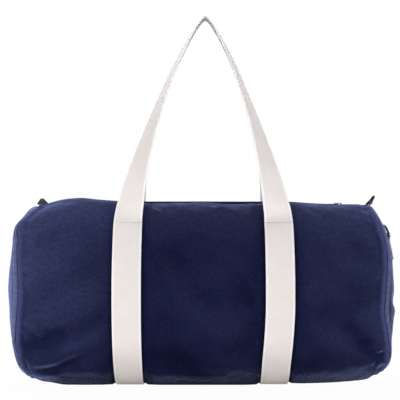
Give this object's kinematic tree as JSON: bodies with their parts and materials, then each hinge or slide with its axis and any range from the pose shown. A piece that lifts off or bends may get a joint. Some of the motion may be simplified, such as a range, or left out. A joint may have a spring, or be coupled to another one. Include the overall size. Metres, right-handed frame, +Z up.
{
  "type": "sports bag",
  "caption": "Barrel sports bag in navy canvas with webbing carry handles wrapped under the body, a top zip and a D-ring on its right round end.",
  "frame": {"origin": "centre of the bag's underside, where it rests on a surface", "axes": "+X along the bag towards its closed zip end, +Y from the front towards the back, +Z up"},
  "size_m": [0.5261, 0.2638, 0.513],
  "materials": {
    "navy_canvas": "matte cotton canvas",
    "navy_binding": "matte cotton binding tape",
    "ecru_webbing": "matte herringbone cotton webbing",
    "black_tape": "matte woven tape",
    "black_plastic": "moulded, satin",
    "black_hardware": "black enamel"
  },
  "bodies": {
    "bag": {"body_panel": "navy_canvas", "end_panel_left": "navy_canvas", "end_panel_right": "navy_canvas", "seam_binding_left": "navy_binding", "seam_binding_right": "navy_binding", "strap_left": "ecru_webbing", "strap_right": "ecru_webbing", "ring_tab": "ecru_webbing", "zip_tape_front": "black_tape", "zip_tape_back": "black_tape", "zip_tab_left": "black_tape", "zip_tab_right": "black_tape", "zip_teeth_front": "black_plastic", "zip_teeth_back": "black_plastic", "zip_bottom_stop": "black_plastic", "zip_top_stop_front": "black_plastic", "zip_top_stop_back": "black_plastic"},
    "front_handle": {"handle_front": "ecru_webbing"},
    "back_handle": {"handle_back": "ecru_webbing"},
    "slider": {"zip_slider": "black_hardware"},
    "pull": {"zip_pull": "black_hardware"},
    "ring": {"d_ring": "black_plastic"}
  },
  "joints": [
    {"name": "front_handle_fold", "type": "hinge", "parent": "bag", "child": "front_handle", "pos_m": [0, -0.09179, 0.21956], "axis": [1, 0, 0], "range_deg": [0, 135]},
    {"name": "back_handle_fold", "type": "hinge", "parent": "bag", "child": "back_handle", "pos_m": [0, 0.09179, 0.21956], "axis": [-1, 0, 0], "range_deg": [0, 135]},
    {"name": "zip_slide", "type": "slide", "parent": "bag", "child": "slider", "axis": [1, 0, 0], "range_m": [-0.372, 0], "deforming": ["zip_teeth_front", "zip_teeth_back"]},
    {"name": "pull_flip", "type": "hinge", "parent": "slider", "child": "pull", "pos_m": [0.187, 0, 0.24795], "axis": [0, 1, 0], "range_deg": [0, 170]},
    {"name": "ring_swing", "type": "hinge", "parent": "bag", "child": "ring", "pos_m": [0.2559, 0, 0.20546], "axis": [0, 1, 0], "range_deg": [0, 150]}
  ]
}
